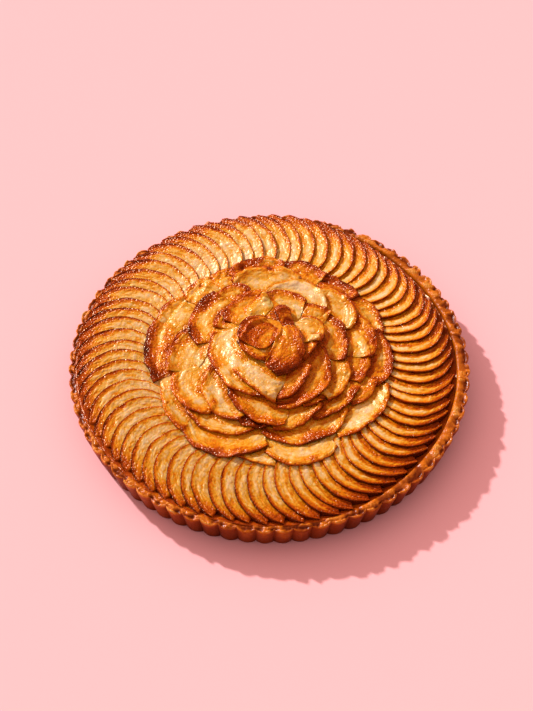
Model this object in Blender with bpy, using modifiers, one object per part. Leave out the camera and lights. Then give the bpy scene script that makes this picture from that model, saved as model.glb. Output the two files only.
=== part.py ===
# Open apple tart: a fluted shortcrust case, a ring of half-moon apple slices laid like shingles,
# and a rose of larger slices on top. Metres, +Z up, origin at the centre of the flat base.
from math import asin, cos, pi, radians, sin

import bmesh
import bpy
import numpy as np

MM = 0.001
GAP = 0.4 * MM                  # clear space between pieces that touch
SAME_POINT = 0.001 * MM         # points nearer than this are merged

# Pastry case, baked in a loose-bottomed fluted tin
RIM_RADIUS = 140.6 * MM         # outside of the flutes at the top
BASE_RADIUS = 134.5 * MM        # outside of the flutes at the base
RIM_HEIGHT = 24 * MM
RIM_THICKNESS = 5.6 * MM
RIM_ROUNDING = 2 * MM           # height over which the rim's outer corner is rounded
BOTTOM_CORNER = 1.6 * MM        # rounding of the corner at the base
WALL_LEAN = 0.26                # the inside of the wall leans out by this share of its height
FLUTES = 71
FLUTE_DEPTH = 2.9 * MM
FLUTE_POWER = 0.7               # under 1, so the valleys are sharper than the crests
FLUTE_START = radians(1.9)      # angle of the first flute's crest
FLUTE_SWAY = radians(3)         # the flutes crowd together on one side of the rim by up to this
FLUTE_CROWD = radians(117)      # and this is where they are closest
FLOOR = 14 * MM                 # top of the baked base inside the rim
STEPS_PER_FLUTE = 4

# Ring of half-moon slices, each lying over the one clockwise of it
SLICES = 70
SLICE_RADIUS = 29.5 * MM        # of the half-moon
RING_MIDDLE = 99.5 * MM         # from the tart's centre to the half-moon's centre
SLICE_CREST = 29.5 * MM         # height of the raised skin edge
SLICE_FALL = 0.40               # slope behind the skin edge
SLICE_SAG = 5.5                 # per metre, how that slope eases off
SLICE_ROOT = 17 * MM            # the slices are fused to the bed down to here
SLICE_HALF_TURN = radians(84)   # the skin edge runs this far to each side of its foremost point
SLICE_SHELF = 11 * MM           # from the skin edge back to the middle row of points
SLICE_COLUMNS = 7
SLICE_TURN_JITTER = radians(0.6)
SLICE_CREST_JITTER = 0.6 * MM
BACK_LIFT = 4.5 * MM            # the slices stand higher along the back of the rim
BACK_ANGLE = radians(105)
BACK_SPREAD = radians(38)

# Apple filling: radius and height (mm) down the profile of the bed under the slices, and of the
# mound under the rose, which stands a little higher towards the back
BED = [(0.0, 18.0), (84.0, 20.5), (133.8, 19.0), (132.0, 14.4), (0.0, 14.4)]
MOUND = [(0.0, 34.5), (20.0, 33.5), (46.0, 29.5), (72.0, 25.5), (79.0, 17.5), (0.0, 17.5)]
MOUND_TILT = 0.05
MOUND_FOOT = 20 * MM            # below this height the mound stays level
FILLING_STEPS = 48

# The rose, ring by ring from the outside and bottom petal first. Each petal is the clock angle
# of its outer edge's peak, counted from the right, the peak's distance from the centre, how far
# it is turned from facing straight out, and the width and depth of its curved edge (mm, degrees).
ROSE = {
    "outer": [(264, 89, -9, 30, 2), (285, 93, -8, 51, 15), (212, 85, -9, 40, 5), (31, 89, -1, 40, 7),
              (53, 89, -2, 34, 4), (117, 88, 17, 32, 7), (131, 88, 6, 28, 5), (149, 89, -7, 32, 5),
              (74, 93, -3, 38, 7), (98, 94, 8, 43, 13), (325, 89, -4, 65, 13), (2, 87, -3, 51, 12),
              (248, 90, 10, 63, 18), (175, 88, 6, 56, 7)],
    "second": [(336, 76, -18, 28, 4), (358, 70, -1, 38, 6), (16, 78, -2, 40, 10), (41, 77, -9, 42, 15),
               (294, 76, -5, 64, 19), (320, 66, -9, 44, 6), (93, 82, 2, 51, 12), (171, 71, -14, 43, 8),
               (237, 73, 9, 55, 14), (211, 73, 7, 45, 12), (72, 71, 6, 47, 21), (115, 69, -4, 27, 8),
               (148, 67, 19, 51, 12)],
    "third": [(260, 61, -2, 26, 5), (221, 58, -16, 51, 15), (293, 62, 10, 42, 8), (311, 53, -2, 23, 4),
              (337, 59, 2, 38, 7), (18, 58, -6, 44, 9), (51, 55, 19, 21, 3), (79, 57, 7, 32, 8),
              (140, 50, 17, 18, 2), (104, 46, 42, 22, 3), (119, 55, 20, 40, 10), (252, 54, -21, 53, 13)],
    "inner": [(322, 49, 6, 61, 20), (306, 38, 14, 38, 7), (213, 41, 4, 72, 21), (248, 35, -18, 40, 4)],
    "heart": [(1, 32, -24, 23, 3), (30, 43, -8, 26, 9), (80, 37, 28, 20, 4), (133, 27, 10, 34, 9),
              (205, 18, 25, 26, 5), (343, 27, 0, 48, 14)],
}
PETAL_SKIN = 2.8 * MM           # thickness at the curved skin edge
PETAL_CORE = 1.1 * MM           # thickness at the hidden inner edge
PETAL_TIP = 2.5 * MM            # width left at each blunt tip
PETAL_BODY = 5 * MM             # how far a deep petal runs inward past its curve
PETAL_RUN = 20 * MM             # and how far at least a shallow one runs inward from its peak
PETAL_NARROWING = 0.1           # share of its width that it loses towards its hidden inner edge
PETAL_FULL = 0.7                # share of the way to the skin edge where it gets its full thickness
CURL = {"outer": 0.6 * MM, "second": 0.8 * MM, "third": 1.2 * MM, "inner": 1.5 * MM, "heart": 3.0 * MM}
PETAL_COLUMNS = 8
PETAL_ROWS = 3

# Height map on which the petals are laid
MAP_REACH = 110 * MM
MAP_STEP = 1 * MM
LAY_SAMPLES = 5                 # in each direction, within one cell of a petal
LAY_ROUNDS = 12
LAY_SHARE = 0.7                 # of what a sheet falls short by, made good in each round
STIFFNESS = 9 * MM              # distance over which a slice spreads out a bump under it

COLOURS = {
    "crust": ((0.45, 0.20, 0.07), 0.75),
    "apple_ring": ((0.85, 0.55, 0.20), 0.35),
    "outer": ((0.80, 0.42, 0.12), 0.35),
    "second": ((0.78, 0.38, 0.10), 0.35),
    "third": ((0.76, 0.36, 0.10), 0.35),
    "inner": ((0.74, 0.34, 0.09), 0.35),
    "heart": ((0.70, 0.30, 0.08), 0.35),
}


def clear_scene():
    for obj in list(bpy.data.objects):
        bpy.data.objects.remove(obj, do_unlink=True)


def make_collection(name):
    collection = bpy.data.collections.new(name)
    bpy.context.scene.collection.children.link(collection)
    return collection


def make_material(name):
    colour, roughness = COLOURS[name]
    material = bpy.data.materials.new(name)
    material.use_nodes = True
    shader = material.node_tree.nodes["Principled BSDF"]
    shader.inputs["Base Color"].default_value = (*colour, 1)
    shader.inputs["Roughness"].default_value = roughness
    shader.inputs["Metallic"].default_value = 0
    return material


def add_object(name, bm, collection, material):
    mesh = bpy.data.meshes.new(name)
    bm.to_mesh(mesh)
    bm.free()
    mesh.materials.append(material)
    obj = bpy.data.objects.new(name, mesh)
    collection.objects.link(obj)
    return obj


def crust_profile():
    """Radius, height and share of the flute depth, from the base round the rim to the floor."""
    inside = RIM_RADIUS - RIM_THICKNESS
    return [
        (BASE_RADIUS - BOTTOM_CORNER, 0, 0.6),
        (BASE_RADIUS, BOTTOM_CORNER, 1.0),
        (RIM_RADIUS - 0.15 * RIM_ROUNDING, RIM_HEIGHT - RIM_ROUNDING, 1.0),
        (RIM_RADIUS - 0.8 * RIM_ROUNDING, RIM_HEIGHT, 0.8),
        (inside + 0.45 * RIM_ROUNDING, RIM_HEIGHT - 0.25 * RIM_ROUNDING, 0),
        (inside - WALL_LEAN * (RIM_HEIGHT - FLOOR), FLOOR, 0),
    ]


def flute_at(share):
    """Angle and scallop (0 in a valley, 1 on a crest) at a share of the way round the rim."""
    flute = share * FLUTES
    even = 2 * pi * share
    turn = even + FLUTE_START - FLUTE_SWAY * sin(even - FLUTE_CROWD)
    return turn, abs(cos(pi * flute)) ** FLUTE_POWER


def make_crust(collection, material):
    """A grid, one column a step of a flute and one row a turn of the profile, rolled into a ring."""
    profile = crust_profile()
    columns = FLUTES * STEPS_PER_FLUTE
    bm = bmesh.new()
    bmesh.ops.create_grid(bm, x_segments=columns, y_segments=len(profile) - 1, size=1)
    for vert in bm.verts:
        turn, scallop = flute_at((vert.co.x + 1) / 2)
        row = round((vert.co.y + 1) / 2 * (len(profile) - 1))
        radius, height, share = profile[row]
        reach = radius - FLUTE_DEPTH * share * (1 - scallop)
        vert.co = (reach * cos(turn), reach * sin(turn), height)
    bmesh.ops.remove_doubles(bm, verts=bm.verts, dist=SAME_POINT)
    bmesh.ops.holes_fill(bm, edges=bm.edges)
    bmesh.ops.recalc_face_normals(bm, faces=bm.faces)
    return add_object("crust", bm, collection, material)


def slab(low, high):
    """A closed sheet between two grids of points with the same rows and columns."""
    rows, columns = low.shape[:2]
    bm = bmesh.new()
    bmesh.ops.create_grid(bm, x_segments=columns - 1, y_segments=rows - 1, size=1)
    sheet = [(vert, *cell_of(vert.co, rows, columns)) for vert in bm.verts]
    for vert, row, column in sheet:
        vert.co = low[row, column]
    top = bmesh.ops.extrude_face_region(bm, geom=bm.faces[:])["geom"]
    raised = [vert for vert in top if isinstance(vert, bmesh.types.BMVert)]
    place = {tuple(vert.co): (row, column) for vert, row, column in sheet}
    for vert in raised:
        vert.co = high[place[tuple(vert.co)]]
    bmesh.ops.recalc_face_normals(bm, faces=bm.faces)
    return bm


def cell_of(point, rows, columns):
    row = round((point.y + 1) / 2 * (rows - 1))
    column = round((point.x + 1) / 2 * (columns - 1))
    return row, column


def slice_angles():
    """Evenly spaced round the ring, each a little off its place."""
    random = np.random.default_rng(3)
    angles = np.arange(SLICES) * 2 * pi / SLICES
    placed = angles + random.uniform(-SLICE_TURN_JITTER, SLICE_TURN_JITTER, SLICES)
    crests = SLICE_CREST + random.uniform(-SLICE_CREST_JITTER, SLICE_CREST_JITTER, SLICES)
    return list(zip(placed, crests))


def slice_height(behind, crest):
    """Height of a slice's top at a distance behind the line through its foremost point."""
    return crest - SLICE_FALL * behind + SLICE_SAG * behind ** 2


def back_lift(angle, x):
    """The slices along the back stand higher, most of all at their outer tips."""
    off = (angle - BACK_ANGLE + pi) % (2 * pi) - pi
    outward = np.clip((x - RING_MIDDLE) / SLICE_RADIUS, 0, 1)
    return BACK_LIFT * np.exp(-((off / BACK_SPREAD) ** 2)) * outward


def slice_grids(angle, crest):
    """Top and bottom points of one half-moon: its curved skin edge, a middle line and its core edge."""
    turn = np.linspace(-SLICE_HALF_TURN, SLICE_HALF_TURN, SLICE_COLUMNS)
    x = RING_MIDDLE + SLICE_RADIUS * np.sin(turn)
    skin = SLICE_RADIUS * (1 - np.cos(turn))
    core = np.full_like(skin, SLICE_RADIUS)
    middle = np.minimum(skin + SLICE_SHELF, (skin + core) / 2)
    behind = np.stack([core, middle, skin])
    across = np.stack([x, x, x])
    high = slice_height(behind, crest) + back_lift(angle + behind / RING_MIDDLE, across)
    plan_x = across * cos(angle) - behind * sin(angle)
    plan_y = across * sin(angle) + behind * cos(angle)
    top = np.stack([plan_x, plan_y, high], -1)
    bottom = np.stack([plan_x, plan_y, np.full_like(high, SLICE_ROOT)], -1)
    return bottom, top


def turned(name, profile, collection, material):
    """A closed profile turned about the upright axis."""
    bm = bmesh.new()
    points = [bm.verts.new((radius * MM, 0, height * MM)) for radius, height in profile]
    for start, end in zip(points, points[1:]):
        bm.edges.new((start, end))
    obj = add_object(name, bm, collection, material)
    screw = obj.modifiers.new("turned", "SCREW")
    screw.steps = FILLING_STEPS
    screw.render_steps = FILLING_STEPS
    screw.use_merge_vertices = True
    screw.merge_threshold = SAME_POINT
    screw.use_normal_calculate = True
    return obj


def make_mound(collection, material):
    mound = turned("mound", MOUND, collection, material)
    mound.hide_render = True
    keep_shape(mound)
    for vert in mound.data.vertices:
        if vert.co.z > MOUND_FOOT:
            vert.co.z += mound_rise(vert.co.y)


def mound_rise(y):
    return MOUND_TILT * y


def keep_shape(obj):
    """Turn an object's modifiers into its own mesh."""
    depsgraph = bpy.context.evaluated_depsgraph_get()
    mesh = bpy.data.meshes.new_from_object(obj.evaluated_get(depsgraph))
    obj.modifiers.clear()
    obj.data = mesh


def fuse(obj, collection):
    """Join every object of a collection to obj, keep the result as its mesh, remove the rest."""
    union = obj.modifiers.new("fused", "BOOLEAN")
    union.operation = "UNION"
    union.operand_type = "COLLECTION"
    union.collection = collection
    union.solver = "EXACT"
    keep_shape(obj)
    for piece in list(collection.objects):
        bpy.data.objects.remove(piece, do_unlink=True)
    bpy.data.collections.remove(collection)


def make_ring(collection, material):
    ring = turned("apple_ring", BED, collection, material)
    slices = make_collection("ring_slices")
    make_mound(slices, material)
    for number, (angle, crest) in enumerate(slice_angles()):
        piece = add_object(f"slice_{number}", slab(*slice_grids(angle, crest)), slices, material)
        piece.hide_render = True
    fuse(ring, slices)
    return ring


def map_points():
    count = round(2 * MAP_REACH / MAP_STEP) + 1
    line = np.linspace(-MAP_REACH, MAP_REACH, count)
    return np.meshgrid(line, line, indexing="ij")


def start_map():
    """Height of the bed and the ring's slices at every point of the map."""
    x, y = map_points()
    radius = np.hypot(x, y)
    bed = np.array(BED[:-2]) * MM
    mound = np.array(MOUND[:-1]) * MM
    height = np.interp(radius, bed[:, 0], bed[:, 1])
    over = np.interp(radius, mound[:, 0], mound[:, 1]) + mound_rise(y)
    height = np.where(radius < mound[-1, 0] + MAP_STEP, np.maximum(height, over), height)
    for angle, crest in slice_angles():
        across = x * cos(angle) + y * sin(angle)
        behind = y * cos(angle) - x * sin(angle)
        off = np.hypot(across - RING_MIDDLE, behind - SLICE_RADIUS)
        inside = (off < SLICE_RADIUS + MAP_STEP) & (behind < SLICE_RADIUS)
        height = np.where(inside, np.maximum(height, slice_height(behind, crest)), height)
    return height


def petal_plan(petal):
    """Grid of plan points: rows from the hidden inner edge to the curved skin edge."""
    angle, reach, turn, width, depth = petal
    angle, turn = radians(angle), radians(turn)
    reach, width, depth = reach * MM, width * MM, depth * MM
    radius = (width ** 2 / 4 + depth ** 2) / (2 * depth)
    half = asin(min(1, width / 2 / radius))
    if depth > radius:
        half = pi - half
    along = np.linspace(-1, 1, PETAL_COLUMNS)
    side = radius * np.sin(along * half)
    skin = -radius * (1 - np.cos(along * half))
    run = max(depth + PETAL_BODY, PETAL_RUN)
    body = PETAL_TIP + (run - PETAL_TIP) * np.sqrt(1 - along ** 2)
    share = np.linspace(0, 1, PETAL_ROWS)[:, None]
    out = skin - body * (1 - share)
    side = side * (1 - PETAL_NARROWING * (1 - share))
    facing = angle + turn
    x = reach * cos(angle) + out * cos(facing) - side * sin(facing)
    y = reach * sin(angle) + out * sin(facing) + side * cos(facing)
    return x, y


def lay_weights():
    """Weights that read a faceted sheet between its grid points, for both ways of splitting a cell."""
    share = (np.arange(LAY_SAMPLES) + 0.5) / LAY_SAMPLES
    share = np.concatenate([[0], share, [1]])
    rows = []
    for row in range(PETAL_ROWS - 1):
        for column in range(PETAL_COLUMNS - 1):
            corners = [(row, column), (row, column + 1), (row + 1, column), (row + 1, column + 1)]
            places = [r * PETAL_COLUMNS + c for r, c in corners]
            for s in share:
                for t in share:
                    rows += [(places, falling_split(s, t)), (places, rising_split(s, t))]
    weights = np.zeros((len(rows), PETAL_ROWS * PETAL_COLUMNS))
    for line, (places, parts) in enumerate(rows):
        weights[line, places] = parts
    return weights


def falling_split(s, t):
    """Shares of corners 00, 10, 01, 11 where the cell is split from 00 to 11."""
    if s > t:
        return (1 - s, s - t, 0, t)
    return (1 - t, 0, t - s, s)


def rising_split(s, t):
    """The same where it is split from 10 to 01."""
    if s + t < 1:
        return (1 - s - t, s, t, 0)
    return (0, 1 - t, 1 - s, s + t - 1)


def map_cells(x, y):
    column = np.clip(np.round((x + MAP_REACH) / MAP_STEP).astype(int), 1, None)
    row = np.clip(np.round((y + MAP_REACH) / MAP_STEP).astype(int), 1, None)
    return column, row


def lay(x, y, weights, height):
    """Rest a sheet on the map: it follows the pile smoothly, and no facet comes nearer than the gap."""
    sample_x, sample_y = weights @ x, weights @ y
    need = height[map_cells(sample_x, sample_y)] + GAP
    apart = np.hypot(x[:, None] - sample_x, y[:, None] - sample_y)
    near = np.exp(-((apart / STIFFNESS) ** 2))
    z = near @ need / near.sum(1)
    for _ in range(LAY_ROUNDS):
        short = np.maximum(0, need - weights @ z)
        z = z + LAY_SHARE * (near * short).max(1)
    return z + max(0, (need - weights @ z).max())


def press_on_map(x, y, z, weights, height):
    """Raise the map to the top of a sheet, one cell past its edges."""
    column, row = map_cells(weights @ x, weights @ y)
    level = weights @ z
    for step_x in (-1, 0, 1):
        for step_y in (-1, 0, 1):
            np.maximum.at(height, (column + step_x, row + step_y), level)


def make_rose(collection, materials):
    weights = lay_weights()
    height = start_map()
    share = np.linspace(0, 1, PETAL_ROWS)[:, None]
    thickness = PETAL_CORE + (PETAL_SKIN - PETAL_CORE) * np.minimum(1, share / PETAL_FULL)
    thickness = (thickness + np.zeros(PETAL_COLUMNS)).ravel()
    for ring, petals in ROSE.items():
        curl = CURL[ring] * np.repeat(share.ravel() ** 2, PETAL_COLUMNS)
        for number, petal in enumerate(petals, 1):
            x, y = (part.ravel() for part in petal_plan(petal))
            low = lay(x, y, weights, height) + curl
            top = low + thickness
            press_on_map(x, y, top, weights, height)
            shape = (PETAL_ROWS, PETAL_COLUMNS, 3)
            bottom_points = np.stack([x, y, low], -1).reshape(shape)
            top_points = np.stack([x, y, top], -1).reshape(shape)
            bm = slab(bottom_points, top_points)
            add_object(f"petal_{ring}_{number:02d}", bm, collection, materials[ring])


def main():
    clear_scene()
    tart = make_collection("apple_tart")
    materials = {name: make_material(name) for name in COLOURS}
    make_crust(tart, materials["crust"])
    make_ring(tart, materials["apple_ring"])
    make_rose(tart, materials)


main()
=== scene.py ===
import math

import bpy
import numpy as np
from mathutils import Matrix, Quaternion, Vector


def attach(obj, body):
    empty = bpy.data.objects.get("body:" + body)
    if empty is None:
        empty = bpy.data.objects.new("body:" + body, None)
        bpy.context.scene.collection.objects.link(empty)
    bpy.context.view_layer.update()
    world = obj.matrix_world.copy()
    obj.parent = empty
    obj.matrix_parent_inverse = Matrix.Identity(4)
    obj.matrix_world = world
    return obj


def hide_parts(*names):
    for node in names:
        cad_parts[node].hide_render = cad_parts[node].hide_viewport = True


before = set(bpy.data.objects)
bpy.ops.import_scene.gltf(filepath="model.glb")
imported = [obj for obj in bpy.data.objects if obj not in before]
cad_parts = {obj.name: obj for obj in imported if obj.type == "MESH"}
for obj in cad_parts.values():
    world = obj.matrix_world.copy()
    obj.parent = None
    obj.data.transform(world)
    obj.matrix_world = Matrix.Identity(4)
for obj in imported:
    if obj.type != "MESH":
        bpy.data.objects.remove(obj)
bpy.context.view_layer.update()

mm = 0.001
print("frame loaded:", len(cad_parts), "nodes")

# big factors for the whole numbers of a corner and for a seed, then pairs of a shift in bits and a factor
cornerFactors, seedFactor = (73856093, 19349663, 83492791), 2971215
stirring = ((13, 1274126177), (16, 668265263))


# a random number from -1 to 1 for each corner of a cell: all is mixed and stirred twice, and 16 bits are kept
def hashCorners(corner, seed):
    mixed = seed * seedFactor
    for axis, factor in enumerate(cornerFactors):
        mixed = mixed ^ corner[..., axis] * factor
    for shift, factor in stirring:
        mixed = (mixed ^ (mixed >> shift)) * factor & 0xFFFFFFFF
    return ((mixed >> 8) & 0xFFFF) / 32767.5 - 1


# a share from 0 to 1 made to start and end gently: 3t^2 - 2t^3
def eased(part):
    return part * part * (3 - 2 * part)


# smooth noise: the corner numbers round each point, blended gently along each axis
def noise(points, cell, seed):
    scaled = np.asarray(points) / np.asarray(cell)
    corner = np.floor(scaled).astype(np.int64)
    blend = eased(scaled - corner)
    total = np.zeros(corner.shape[:-1])
    for step in np.ndindex(2, 2, 2):
        weight = np.prod(np.where(step, blend, 1 - blend), -1)
        total += weight * hashCorners(corner + np.array(step), seed)
    return total


# several noises added, each twice as fine and half as strong as the one before; folded at nought, they have
# round lumps with sharp creases between them, from 0 up to about 1
def layeredNoise(points, cell, seed, layers=2, fold=False):
    total = 0
    for layer in range(layers):
        one = noise(points, np.asarray(cell) / 2 ** layer, seed + layer)
        total = total + (np.abs(one) if fold else one) / 2 ** layer
    return total


# 0 below low, 1 above high, a gentle step between them
def smoothStep(low, high, value):
    return eased(np.clip((value - low) / (high - low), 0, 1))


# 1 at no distance and less and less away from it, as a bell curve of the given width
def bell(distance, width):
    return np.exp(-((distance / width) ** 2))


# three coordinates, spread to one size, as points
def pointsOf(first, second=0.0, third=0.0):
    return np.stack(np.broadcast_arrays(first, second, third), -1)


# a place given as outward and sideways of a direction, as x and y
def turned(out, aside, angle):
    return out * np.cos(angle) - aside * np.sin(angle), out * np.sin(angle) + aside * np.cos(angle)


# how far an angle lies from a middle one, from minus to plus half a turn
def angleFrom(middle, angle):
    return (angle - middle + np.pi) % (2 * np.pi) - np.pi


# corners of the four-sided faces between neighbouring points of a grid, whose last row or column may meet the
# first one
def gridFaces(rows, columns, closeRows=False, closeColumns=False):
    row = np.arange(rows if closeRows else rows - 1)[:, None]
    column = np.arange(columns if closeColumns else columns - 1)[None, :]
    nextRow, nextColumn = (row + 1) % rows, (column + 1) % columns
    corners = (row * columns + column, row * columns + nextColumn,
               nextRow * columns + nextColumn, nextRow * columns + column)
    return np.stack(np.broadcast_arrays(*corners), -1).reshape(-1, 4)


# a mesh object from points, four-sided faces and triangles, with one number a point for each named value
def addMesh(name, points, quads, triangles, material, values):
    mesh = bpy.data.meshes.new(name)
    mesh.vertices.add(len(points))
    mesh.vertices.foreach_set("co", np.ascontiguousarray(points, np.float32).ravel())
    corners = np.concatenate([quads.ravel(), triangles.ravel()]).astype(np.int32)
    sizes = np.concatenate([np.full(len(quads), 4), np.full(len(triangles), 3)])
    starts = np.concatenate([[0], np.cumsum(sizes)[:-1]]).astype(np.int32)
    mesh.loops.add(len(corners))
    mesh.loops.foreach_set("vertex_index", corners)
    mesh.polygons.add(len(sizes))
    mesh.polygons.foreach_set("loop_start", starts)
    mesh.update(calc_edges=True)
    mesh.shade_smooth()
    for valueName, numbers in values.items():
        layer = mesh.attributes.new(valueName, "FLOAT", "POINT")
        layer.data.foreach_set("value", np.ascontiguousarray(numbers, np.float32).ravel())
    mesh.materials.append(material)
    obj = bpy.data.objects.new(name, mesh)
    bpy.context.scene.collection.objects.link(obj)
    return obj


# triangles from a middle point to each two neighbours of a closed line, one way round or the other
def fan(middle, line, back=False):
    pair = [np.roll(line, -1), line] if back else [line, np.roll(line, -1)]
    return np.stack([np.full(len(line), middle), *pair], -1)


# loops of points round a body, one a column: closes the loops and shuts each end with a fan to its middle
def closedLoops(points):
    rows, columns = points.shape[:2]
    ends = points[:, [0, -1]].mean(0)
    start, count = np.arange(rows) * columns, rows * columns
    fans = np.concatenate([fan(count, start), fan(count + 1, start + columns - 1, back=True)])
    return np.concatenate([points.reshape(-1, 3), ends]), gridFaces(rows, columns, closeRows=True), fans


# numbers given a point of such loops, with the mean of each end's loop for its middle
def loopValues(numbers):
    return np.concatenate([numbers.ravel(), numbers[:, [0, -1]].mean(0)])


# a number that the mesh holds for each of its points
def meshValue(tree, name):
    node = tree.nodes.new("ShaderNodeAttribute")
    node.attribute_name = name
    return node.outputs["Fac"]


# a calculation whose inputs are each the output of another node or a plain number
def mathNode(tree, operation, *inputs):
    node = tree.nodes.new("ShaderNodeMath")
    node.operation = operation
    for place, given in enumerate(inputs):
        if isinstance(given, bpy.types.NodeSocket):
            tree.links.new(given, node.inputs[place])
        else:
            node.inputs[place].default_value = given
    return node.outputs[0]


# a value between the given two numbers carried over to lie between the wanted two
def rangeNode(tree, value, given, wanted):
    node = tree.nodes.new("ShaderNodeMapRange")
    tree.links.new(value, node.inputs["Value"])
    for label, number in zip(("From Min", "From Max", "To Min", "To Max"), (*given, *wanted)):
        node.inputs[label].default_value = number
    return node.outputs["Result"]


# what every finish shares: how fine its noises are, the browning over which its relief changes, and how far
# light spreads under the surface, in all and as shares of it for red, green and blue
allFinishes = {"freckleDetail": 4, "freckleRoughness": 0.65, "grainDetail": 2, "reliefBrowning": (0.15, 0.5),
               "spread": 2.2 * mm, "spreadShares": (1.0, 0.45, 0.15)}


# a material whose colour runs through steps of browning held on the mesh, broken up by fine noise; on the
# slices, petals and crust that browning also holds painted light and shade; its roughness and the strength of
# its relief also run from pale to dark
def bakedMaterial(name, finish):
    material = bpy.data.materials.new(name)
    material.use_nodes = True
    tree = material.node_tree
    nodes, links = tree.nodes, tree.links
    shader = nodes["Principled BSDF"]
    place = nodes.new("ShaderNodeTexCoord").outputs["Object"]

    freckles = nodes.new("ShaderNodeTexNoise")
    freckles.inputs["Scale"].default_value = finish["freckleScale"]
    freckles.inputs["Detail"].default_value = allFinishes["freckleDetail"]
    freckles.inputs["Roughness"].default_value = allFinishes["freckleRoughness"]
    links.new(place, freckles.inputs["Vector"])
    most = finish["freckles"]
    apart = mathNode(tree, "MULTIPLY_ADD", freckles.outputs["Fac"], most, -most / 2)  # either side of nought
    browned = mathNode(tree, "ADD", meshValue(tree, "bake"), apart)
    browned.node.use_clamp = True

    colours = nodes.new("ShaderNodeValToRGB")
    ramp = colours.color_ramp
    for number, (position, colour) in enumerate(finish["colours"]):
        stop = ramp.elements[number] if number < 2 else ramp.elements.new(position)
        stop.position = position
        stop.color = (*colour, 1)
    links.new(browned, colours.inputs["Fac"])
    links.new(colours.outputs["Color"], shader.inputs["Base Color"])
    roughness = rangeNode(tree, browned, (0, 1), (finish["roughPale"], finish["roughDark"]))
    links.new(roughness, shader.inputs["Roughness"])

    normal = None
    for kind, scale, paleStrength, darkStrength, distance in finish["bumps"]:
        grain = nodes.new("ShaderNodeTexVoronoi" if kind == "blisters" else "ShaderNodeTexNoise")
        grain.inputs["Scale"].default_value = scale
        links.new(place, grain.inputs["Vector"])
        bump = nodes.new("ShaderNodeBump")
        bump.inputs["Distance"].default_value = distance
        strength = rangeNode(tree, browned, allFinishes["reliefBrowning"], (paleStrength, darkStrength))
        links.new(strength, bump.inputs["Strength"])
        if kind == "blisters":  # domes: the height falls as the square of the way from the cell's middle
            bump.invert = True
            height = mathNode(tree, "POWER", grain.outputs["Distance"], 2)
        else:
            grain.inputs["Detail"].default_value = allFinishes["grainDetail"]
            height = grain.outputs["Fac"]
        links.new(height, bump.inputs["Height"])
        if normal:
            links.new(normal, bump.inputs["Normal"])
        normal = bump.outputs["Normal"]
    links.new(normal, shader.inputs["Normal"])

    shader.inputs["Specular IOR Level"].default_value = finish["shine"]
    if "coat" in finish:  # a glossy coat lies only where the mesh says that glaze has run
        coat = mathNode(tree, "MULTIPLY", meshValue(tree, "glaze"), finish["coat"])
        links.new(coat, shader.inputs["Coat Weight"])
        links.new(normal, shader.inputs["Coat Normal"])
        shader.inputs["Coat Roughness"].default_value = finish["coatRoughness"]
    shader.inputs["Specular Tint"].default_value = (*finish["tint"], 1)  # the glaze colours what it mirrors
    shader.inputs["Subsurface Weight"].default_value = finish["glow"]
    shader.inputs["Subsurface Radius"].default_value = allFinishes["spreadShares"]
    shader.inputs["Subsurface Scale"].default_value = allFinishes["spread"]
    return material


# colours by browning, from 0 pale to 1 burnt; the first two entries are the ends
appleColours = [(0.0, (0.67, 0.475, 0.24)), (1.0, (0.085, 0.009, 0.0005)), (0.12, (0.655, 0.39, 0.11)),
                (0.22, (0.635, 0.284, 0.015)), (0.33, (0.59, 0.172, 0.001)), (0.5, (0.42, 0.065, 0.0003)),
                (0.7, (0.25, 0.027, 0.0003)), (0.88, (0.13, 0.012, 0.0003))]

# each bump: its kind, how fine it is, its strength where pale and where dark, and its height
sliceFinish = bakedMaterial("glazed apple slices", {
    "colours": appleColours, "freckles": 0.11, "freckleScale": 420, "roughPale": 0.29, "roughDark": 0.19,
    "bumps": [("grain", 650, 0.35, 0.5, 0.9 * mm), ("blisters", 620, 0.12, 0.55, 1.2 * mm)],
    "shine": 0.48, "tint": (1, 0.72, 0.42), "glow": 0.4})
petalFinish = bakedMaterial("caramelised apple petals", {
    "colours": appleColours, "freckles": 0.15, "freckleScale": 300, "roughPale": 0.28, "roughDark": 0.18,
    "bumps": [("grain", 650, 0.35, 0.5, 0.9 * mm), ("blisters", 620, 0.1, 0.65, 1.2 * mm)],
    "shine": 0.55, "tint": (1, 0.76, 0.50), "glow": 0.35})
juiceFinish = bakedMaterial("set apple juice", {
    "colours": appleColours, "freckles": 0.2, "freckleScale": 250, "roughPale": 0.30, "roughDark": 0.22,
    "bumps": [("grain", 500, 0.7, 0.9, 0.7 * mm)], "shine": 0.7, "tint": (1, 0.74, 0.46), "glow": 0.2})
crustFinish = bakedMaterial("baked shortcrust", {
    "colours": [(0.0, (0.62, 0.37, 0.07)), (1.0, (0.05, 0.005, 0.0003)), (0.3, (0.55, 0.14, 0.003)),
                (0.55, (0.215, 0.031, 0.0006)), (0.8, (0.10, 0.011, 0.0003))],
    "freckles": 0.22, "freckleScale": 600, "roughPale": 0.22, "roughDark": 0.55,
    "bumps": [("grain", 700, 0.7, 0.5, 0.6 * mm), ("blisters", 800, 0.7, 0.1, 0.8 * mm)],
    "shine": 0.04, "coat": 0.6, "coatRoughness": 0.27, "tint": (1, 0.62, 0.24), "glow": 0.1})
print("materials made")


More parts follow.
